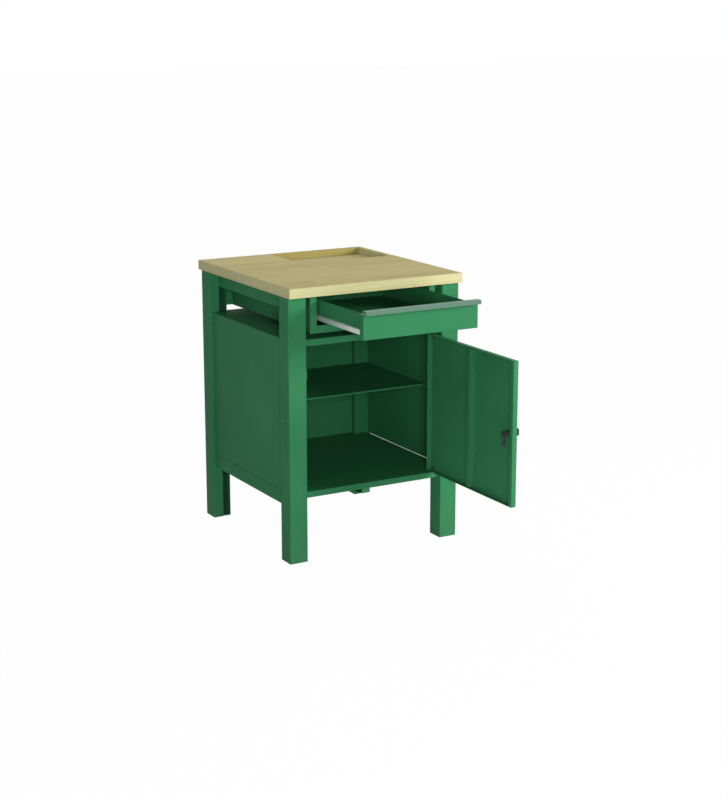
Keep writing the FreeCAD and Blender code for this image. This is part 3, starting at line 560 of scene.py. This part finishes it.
low, high, middle = node_box("lock_knob")
knob = knob_grid((high[2] - low[2]) / 2)
spindle_length = high[0] - low[0] - KNOB_LENGTH
spindle = turned([0, SPINDLE_RADIUS - SPINDLE_CHAMFER, SPINDLE_RADIUS, SPINDLE_RADIUS, 0],
                 [0, 0, SPINDLE_CHAMFER, spindle_length, spindle_length], 40)
knob_parts = aimed(knob, [(high[0] - KNOB_LENGTH, middle[1], middle[2])], (1, 0, 0))
knob_parts += aimed(spindle, [(low[0], middle[1], middle[2])], (1, 0, 0))
piece("fluted_lock_knob", knob_parts, "black_plastic", "lock_turn", "lock_knob")

# %% [markdown]
# ## Bolt shapes
# The rails are bolted to the legs with hexagon bolts. A bought bolt has a chamfered head, a rolled thread and a
# nut, while a plain prism and rod stand for it in the CAD. Blender has no bolt of its own, and a screw modifier
# leaves open ends. So the head is a turned shape whose radius follows a hexagon, cut back by a cone, and the
# thread is a turned shape whose radius follows a saw that climbs with the angle.

# %% Bolt shapes
THREAD_PITCH = 0.00125
THREAD_DEPTH = 0.00055
ROWS_PER_PITCH = 8
CHAMFER_SLOPE = 1.732
CHAMFER_TOP = 0.97
FACE_SHARE = 0.9


def hexagon_radius(corner_radius, columns):
    """Distance from the axis to a hexagon's side: the flat's distance over the cosine of the angle from the
    middle of that side."""
    flat = corner_radius * math.cos(math.pi / 6)
    return flat / np.cos((angles(columns) % (np.pi / 3)) - np.pi / 6)


def hexagon_head(corner_radius, height, columns=72):
    """A head along Z, closed at both ends: the smaller of the hexagon and a cone, whose radius is 0.97 of the
    flat's distance at the top and grows by 1.732 of the depth below it."""
    flat = corner_radius * math.cos(math.pi / 6)
    rise = np.concatenate([[0.0, 0.0], np.linspace(0.02, 1.0, 14), [1.0, 1.0]]) * height
    cone = (flat * CHAMFER_TOP + CHAMFER_SLOPE * (height - rise))[:, None]
    wall = np.minimum(hexagon_radius(corner_radius, columns)[None, :], cone)
    wall[0] = wall[-1] = 0.0
    wall[-2] *= FACE_SHARE
    return turned(wall, rise, columns)


def threaded_rod(radius, length, columns=32):
    """A rod along Z with radius(row, angle) = radius less a saw of the height in pitches less the turn."""
    rise = np.linspace(0.0, length, int(length / THREAD_PITCH * ROWS_PER_PITCH))
    turn = angles(columns) / (2 * np.pi)
    saw = np.abs(((rise[:, None] / THREAD_PITCH - turn) % 1.0) - 0.5) * 2
    wall = np.vstack([np.zeros(columns), radius - THREAD_DEPTH * saw, np.zeros(columns)])
    return turned(wall, np.concatenate([[0.0], rise, [length]]), columns)


print("thread pitch", THREAD_PITCH * 1000, "mm")

# %% [markdown]
# ## Bolts in place
# Four bolts hold the side rails from inside the bench, and four hold the back rails from inside the legs. They
# could be copied by an array, but their grips differ, so each is put at its own head: the head lies on the
# sheet, the rod runs through the grip, and the nut sits behind it. The lock has a hexagon nut of the same form.

# %% Bolts in place
BOLT_CORNER = 0.007
BOLT_RADIUS = 0.004
BOLT_TAIL = 0.002
BOLT_INSET = 0.014
HEAD_HEIGHT = 0.0053
NUT_HEIGHT = 0.0065
RAIL_GRIP = 0.0039
BACK_GRIP = 0.0035
SHEET_INNER = 0.237
LEG_SHEET = 0.002
BOLT_CREASE = 28.0


def bolt(head, way, grip):
    """A bolt that points along X by its way, 1 or -1: the head, a rod through the grip, the nut and a tail."""
    nut = (head[0] + way * grip, head[1], head[2])
    return (aimed(hexagon_head(BOLT_CORNER, HEAD_HEIGHT), [head], (-way, 0, 0))
            + aimed(threaded_rod(BOLT_RADIUS, grip + NUT_HEIGHT + BOLT_TAIL), [head], (way, 0, 0))
            + aimed(hexagon_head(BOLT_CORNER, NUT_HEIGHT), [nut], (way, 0, 0)))


low, high, middle = node_box("top_rail_left")
side_bolt_y, side_bolt_z = high[1] - BOLT_INSET, middle[2]
bolts = []
for side in (-1, 1):
    for end in (-1, 1):
        bolts += bolt((side * SHEET_INNER, end * side_bolt_y, side_bolt_z), side, RAIL_GRIP)
    for rail in ("top_rail_back", "bottom_rail_back"):
        middle = node_box(rail)[2]
        bolts += bolt((side * (SHEET_INNER + LEG_SHEET), middle[1], middle[2]), -side, BACK_GRIP)
piece("hexagon_bolts", bolts, "dark_steel", "bench", "frame_bolts", crease=BOLT_CREASE)

low, high, middle = node_box("lock_nut")
lock_nut = hexagon_head((high[1] - low[1]) / 2, high[0] - low[0])
piece("lock_hexagon_nut", aimed(lock_nut, [(high[0], middle[1], middle[2])], (-1, 0, 0)),
      "dark_steel", "lock_turn", "lock_nut", crease=BOLT_CREASE)

# %% [markdown]
# ## Rollers
# The drawer runs on four nylon rollers, two fixed in the housing and two on the drawer. A moulded roller is not
# a plain disc: it has a hub, a thin web with pockets that save material, and a crowned tread. Pockets could be
# cut with booleans, but its section is also a closed loop of radius and width, turned round the axle, and the
# web's width swings with six times the angle.

# %% Rollers
AXLE_BORE = 0.00255
HUB_STEPS = (0.0, 0.0003, 0.0016, 0.0019)
RIM_STEPS = (0.0027, 0.0024, 0.0021, 0.0006, 0.0001, 0.0)
WIDTH_SHARES = (0.82, 0.88, 0.88, 0.4, 0.4, 0.4, 0.9, 1.0, 1.0, 0.93, 0.3)
WEB_POINT = 4
POCKETS = 6
POCKET_DEPTH = 0.5


def roller_grid(radius, half, columns=96):
    """Section points (radius, width) from the bore over hub, web and rim to the tread, and back on the other
    side. The web's width is cut by half of its value times (1 + cos 6 angle) / 2."""
    reach = np.concatenate([AXLE_BORE + np.array(HUB_STEPS), [(AXLE_BORE + radius) / 2],
                            radius - np.array(RIM_STEPS)])
    at_web = np.where(np.arange(len(reach)) == WEB_POINT, POCKET_DEPTH, 0.0)[:, None]
    pocket = at_web * (1 + np.cos(POCKETS * angles(columns))) / 2
    side = (np.array(WIDTH_SHARES) * half)[:, None] * (1 - pocket)
    return turned(np.concatenate([reach, reach[::-1]]), np.concatenate([side, -side[::-1]]), columns)


for name in ("front_roller_left", "front_roller_right", "rear_roller_left", "rear_roller_right"):
    low, high, middle = node_box(name)
    grid = roller_grid((high[2] - low[2]) / 2, (high[0] - low[0]) / 2)
    piece("moulded_" + name, aimed(grid, [middle], (1, 0, 0)), "nylon", name, name, loop=True)

# %% [markdown]
# ## Plugs and buffers
# Green plugs close the spare holes in the legs, and rubber buffers soften the stops of the door and the drawer.
# Both are small domes. A cylinder with a bevel comes near, but a dome catches the light in one soft spot.

# %% Plugs and buffers
DOME_LIP = 0.3
DIMPLE_DEPTH = 0.1
DIMPLE_REACH = 0.3
PLUG_RADIUS = 0.0045
PLUG_HEIGHT = 0.0016
PLUG_SHANK = 0.003
PLUG_DEPTH = 0.005
BUFFER_CAP = 0.8


def dome(radius, height, shank, depth, columns=32):
    """A cap of r = radius sin t and rise = height (0.3 + 0.7 cos t), with a faint dimple, over a straight
    shank."""
    part = np.linspace(0.0, np.pi / 2, 14)
    reach = radius * np.sin(part)
    dimple = DIMPLE_DEPTH * height * np.exp(-(reach / (DIMPLE_REACH * radius)) ** 2)
    rise = height * (DOME_LIP + (1 - DOME_LIP) * np.cos(part)) - dimple
    return turned(np.concatenate([reach, [radius, shank, shank, 0.0]]),
                  np.concatenate([rise, [0.0, 0.0, -depth, -depth]]), columns)


low, high, middle = node_box("leg_hole_plugs")
plugs = []
for side in (-1, 1):
    spots = [(side * (high[0] - PLUG_HEIGHT), y, z) for y in (low[1] + PLUG_RADIUS, high[1] - PLUG_RADIUS)
             for z in (low[2] + PLUG_RADIUS, high[2] - PLUG_RADIUS)]
    plugs += aimed(dome(PLUG_RADIUS, PLUG_HEIGHT, PLUG_SHANK, PLUG_DEPTH), spots, (side, 0, 0))
piece("domed_leg_plugs", plugs, "green_plastic", "bench", "leg_hole_plugs")

rubber = frame["nodes"]["rubber_buffers"].data
corners = np.empty(len(rubber.vertices) * 3)
rubber.vertices.foreach_get("co", corners)
corners = corners.reshape(-1, 3)
at_door = corners[:, 1] < 0
buffers = []
for group in (at_door, ~at_door & (corners[:, 0] < 0), ~at_door & (corners[:, 0] > 0)):
    low, high = corners[group].min(axis=0), corners[group].max(axis=0)
    radius, length = (high[0] - low[0]) / 2, high[1] - low[1]
    cap = min(length, radius) * BUFFER_CAP
    spot = ((low[0] + high[0]) / 2, low[1] + cap, (low[2] + high[2]) / 2)
    buffers += aimed(dome(radius, cap, radius, length - cap), [spot], (0, -1, 0))
piece("domed_buffers", buffers, "rubber", "bench", "rubber_buffers")

# %% [markdown]
# ## Screws
# Wood screws hold the rails and the drawer housing to the top, and three machine screws hold the grip rail. All
# have round heads with a cross recess. The head is a turned dome whose rise drops where a point lies in the
# cross, so the recess needs no cutting.

# %% Screws
HEAD_LIP = 0.4
CROSS_DEPTH = 0.6
CROSS_HALF = 0.15
CROSS_WALL = 0.05
CROSS_REACH = 0.62
CROSS_END = 0.08


def cross_head(radius, height, columns=96):
    """A dome with rise = height (0.4 + 0.6 sqrt(1 - s s)), less 0.6 of the height inside two crossed bars."""
    share = np.linspace(0.0, 1.0, 26)
    across, along = [np.abs(share[:, None] * wave(angles(columns))) for wave in (np.cos, np.sin)]
    bar = np.clip((CROSS_HALF - np.minimum(across, along)) / CROSS_WALL, 0, 1)
    bar = bar * np.clip((CROSS_REACH - np.maximum(across, along)) / CROSS_END, 0, 1)
    crown = height * (HEAD_LIP + (1 - HEAD_LIP) * np.sqrt(1 - 0.999 * share ** 2))[:, None]
    rise = np.vstack([crown - CROSS_DEPTH * height * bar, np.zeros((2, columns))])
    return turned(np.concatenate([share, [1.0, 0.0]]) * radius, rise, columns)


SCREW_HEAD = 0.0045
HEAD_RISE = 0.003
WOOD_THREAD = 0.0025
FLANGE_INSET = 0.0085
FLANGE_SHEET = 0.0012
FRONT_SCREW_Y = -0.174
rail_screw_x = node_box("top_rail_right")[2][0]
flange = node_box("housing_side_right")[1]
low, high, middle = node_box("worktop_screws")
back_screw_y = high[1] - SCREW_HEAD
spots = [(side * rail_screw_x, y, low[2] + HEAD_RISE)
         for side in (-1, 1) for y in (FRONT_SCREW_Y, back_screw_y)]
spots += [(side * (flange[0] - FLANGE_INSET), y, flange[2] - FLANGE_SHEET)
          for side in (-1, 1) for y in (low[1] + SCREW_HEAD, back_screw_y)]
screws = aimed(cross_head(SCREW_HEAD, HEAD_RISE), spots, (0, 0, -1))
for spot in spots:
    screws += aimed(threaded_rod(WOOD_THREAD, high[2] - spot[2]), [spot], (0, 0, 1))
piece("worktop_wood_screws", screws, "zinc_steel", "bench", "worktop_screws")

GRIP_HEAD = 0.0035
GRIP_RISE = 0.0024
GRIP_THREAD = 0.002
GRIP_LENGTH = 0.008
low, high, middle = node_box("grip_rail_screws")
spots = [(x, middle[1], high[2] - GRIP_RISE) for x in (low[0] + GRIP_HEAD, middle[0], high[0] - GRIP_HEAD)]
screws = aimed(cross_head(GRIP_HEAD, GRIP_RISE), spots, (0, 0, 1))
screws += aimed(threaded_rod(GRIP_THREAD, GRIP_LENGTH), spots, (0, 0, -1))
piece("grip_machine_screws", screws, "zinc_steel", "drawer", "grip_rail_screws")

# %% [markdown]
# ## Weld seams
# The bottom rails are welded to the legs, and the seams lie under the coat. A curve with a bevel would give a
# plain rod. Here a round section is carried along the joint, and its radius ripples with each drop of weld.

# %% Weld seams
SEAM_RADIUS = 0.002
SEAM_DROP = 0.0028
SEAM_RIPPLE = 0.14
SEAM_SHIFT = 0.0003
SEAM_START = 0.003
SEAM_STOP = 0.002


def bead(start, end, columns=14):
    """A round section along a line, closed at both ends, whose radius is multiplied by
    0.86 + 0.14 |sin(pi length / drop)|."""
    start, end = np.array(start), np.array(end)
    length = np.linalg.norm(end - start)
    along = np.linspace(0.0, length, int(length / SEAM_DROP * 6))
    ripple = 1 - SEAM_RIPPLE + SEAM_RIPPLE * np.abs(np.sin(np.pi * along / SEAM_DROP))
    grid = turned(np.concatenate([[0.0], SEAM_RADIUS * ripple, [0.0]]),
                  np.concatenate([[0.0], along, [length]]), columns)
    return aimed(grid, [start], (end - start) / length)


leg_face = node_box("leg_back_right")[0][1] - SEAM_SHIFT
low, high, middle = node_box("bottom_rail_right")
seams = []
for side in (-1, 1):
    for end in (-1, 1):
        outside = (side * (high[0] + SEAM_SHIFT), end * leg_face)
        seams += bead((*outside, low[2] + SEAM_START), (*outside, high[2] - SEAM_STOP))
        below = (end * leg_face, low[2] - SEAM_SHIFT)
        seams += bead((side * (low[0] + SEAM_START), *below), (side * (high[0] - SEAM_START), *below))
piece("rail_weld_seams", seams, "green_paint", "bench")

# %% [markdown]
# ## Spot welds
# Thin sheets are joined by spot welds, which leave small rings: on the back panel's laps, on the feet of the
# door's stiffener and low on the drawer's sides. A bump in the coat would not show from the side, so each spot
# is a shallow turned ring, sunk a little into its sheet at the rim.

# %% Spot welds
SPOT_RADIUS = 0.0032
SPOT_RISE = 0.0002
SPOT_SINK = 0.00004
RING_AT = 0.72
RING_WIDTH = 0.15
LAP_SPOTS = np.linspace(0.26, 0.63, 6)
FOOT_SHEET = 0.001
FOOT_ASIDE = 0.015
FOOT_MARGIN = 0.02
DRAWER_RISE = 0.009
DRAWER_MARGIN = 0.03


def spot_ring(columns=24):
    """Rise = 0.2 mm on a ring at 0.72 of the radius, falling as a bell to just below the sheet at the rim."""
    share = np.linspace(0.0, 1.0, 14)
    rise = SPOT_RISE * np.exp(-((share - RING_AT) / RING_WIDTH) ** 2) - SPOT_SINK * share ** 6
    return turned(np.concatenate([share * SPOT_RADIUS, [0.0]]), np.concatenate([rise, [-SPOT_RISE]]), columns)


lap_x = (node_box("leg_back_right")[0][0] + node_box("back_panel")[1][0]) / 2
lap_y = node_box("back_panel")[0][1]
spots = [(side * lap_x, lap_y, z) for side in (-1, 1) for z in LAP_SPOTS]
piece("back_panel_spot_welds", aimed(spot_ring(), spots, (0, -1, 0)), "green_paint", "bench")

low, high, middle = node_box("door_stiffener")
foot_spots = np.linspace(low[2] + FOOT_MARGIN, high[2] - FOOT_MARGIN, 7)
spots = [(high[0] - FOOT_SHEET, middle[1] + side * FOOT_ASIDE, z) for side in (-1, 1) for z in foot_spots]
piece("door_spot_welds", aimed(spot_ring(), spots, (-1, 0, 0)), "green_paint", "door")

drawer_spots = []
for node, inner, way in (("drawer_side_left", 1, 1), ("drawer_side_right", 0, -1)):
    corner_pair = node_box(node)
    low, high = corner_pair[0], corner_pair[1]
    side_spots = np.linspace(low[1] + DRAWER_MARGIN, high[1] - DRAWER_MARGIN, 6)
    spots = [(corner_pair[inner][0], y, low[2] + DRAWER_RISE) for y in side_spots]
    drawer_spots += aimed(spot_ring(), spots, (way, 0, 0))
piece("drawer_spot_welds", drawer_spots, "green_paint", "drawer")

# %% [markdown]
# ## Floor and backdrop
# The bench stands on a white studio floor. A brighter lamp would bleach the bench too, so the floor and the
# room are white to the camera and to mirrors only. For light the floor stays an ordinary pale surface, which
# holds the bench's soft shadow and gives back a little light from below, and the room stays dim.

# %% Floor and world
FLOOR_SIZE = 60.0
FLOOR_GLOW = 0.98
FLOOR_TONE = (0.8, 0.8, 0.8, 1)
FLOOR_ROUGHNESS = 0.9
ROOM_LIGHT = 0.24
WHITE = (1, 1, 1, 1)


def white_to_the_eye(tree):
    """A factor of 1 for rays that end in the camera, a mirror or glass."""
    path = put(tree, "ShaderNodeLightPath").outputs
    seen = reckon(tree, "MAXIMUM", path["Is Camera Ray"], path["Is Glossy Ray"])
    return reckon(tree, "MAXIMUM", seen, path["Is Transmission Ray"])


def floor_finish():
    """A pale dull surface, mixed with a white glow for the rays that end in the eye."""
    material = bpy.data.materials.new("studio_floor")
    material.use_nodes = True
    tree = material.node_tree
    shader = tree.nodes["Principled BSDF"]
    shader.inputs["Base Color"].default_value = FLOOR_TONE
    shader.inputs["Roughness"].default_value = FLOOR_ROUGHNESS
    shader.inputs["Specular IOR Level"].default_value = 0.0
    glow = put(tree, "ShaderNodeEmission", {"Color": WHITE, "Strength": 1.0})
    share = reckon(tree, "MULTIPLY", white_to_the_eye(tree), FLOOR_GLOW)
    both = put(tree, "ShaderNodeMixShader", {0: share, 1: shader.outputs[0], 2: glow.outputs[0]})
    tree.links.new(both.outputs[0], tree.nodes["Material Output"].inputs["Surface"])
    return material


half = FLOOR_SIZE / 2
floor_corners = [(-half, -half, 0), (half, -half, 0), (half, half, 0), (-half, half, 0)]
floor_mesh = bpy.data.meshes.new("studio_floor")
floor_mesh.from_pydata(floor_corners, [], [(0, 1, 2, 3)])
floor_mesh.materials.append(floor_finish())
floor = bpy.data.objects.new("studio_floor", floor_mesh)
bpy.context.collection.objects.link(floor)

world = bpy.data.worlds.new("studio")
bpy.context.scene.world = world
world.use_nodes = True
tree = world.node_tree
room = tree.nodes["Background"]
room.inputs["Color"].default_value = WHITE
tree.links.new(between(tree, white_to_the_eye(tree), ROOM_LIGHT, 1.0), room.inputs["Strength"])
bpy.context.scene.view_settings.view_transform = "Standard"
print("floor", FLOOR_SIZE, "m")

# %% [markdown]
# ## Lamps
# One broad lamp stands at the front right, where the open door shades the cupboard from it. A weaker one stands
# beside the camera and reaches into the cupboard, and a third lights the worktop from above and behind. Sun
# lamps would cast hard shadows, so all three are square area lamps, whose size softens the edges of the shade.
# Seen from the far side, a low lamp would glare on the worktop and bleach it, so reflections leave lamps out.

# %% Lamps
def lamp(name, place, target, size, watts, tint):
    """A square area lamp of a tint that looks at a target, and doesn't glare in reflections."""
    light = bpy.data.lights.new(name, "AREA")
    light.size = size
    light.energy = watts
    light.color = tint
    made = bpy.data.objects.new(name, light)
    made.visible_glossy = False
    look = (Vector(target) - Vector(place)).to_track_quat("-Z", "Y").to_matrix().to_4x4()
    made.matrix_world = Matrix.Translation(place) @ look
    bpy.context.collection.objects.link(made)
    print(name, watts, "W")


lamp("front_right_lamp", place=(3.0, -3.2, 1.9), target=(0.0, -0.1, 0.5), size=1.4, watts=170.0,
     tint=(1.0, 0.97, 0.92))
lamp("camera_lamp", place=(-2.1, -4.6, 1.5), target=(0.0, -0.1, 0.45), size=0.9, watts=100.0,
     tint=(0.95, 1.0, 0.99))
lamp("top_lamp", place=(0.2, 1.6, 3.2), target=(0.0, 0.0, 0.8), size=1.6, watts=29.0,
     tint=(1.0, 1.0, 0.98))
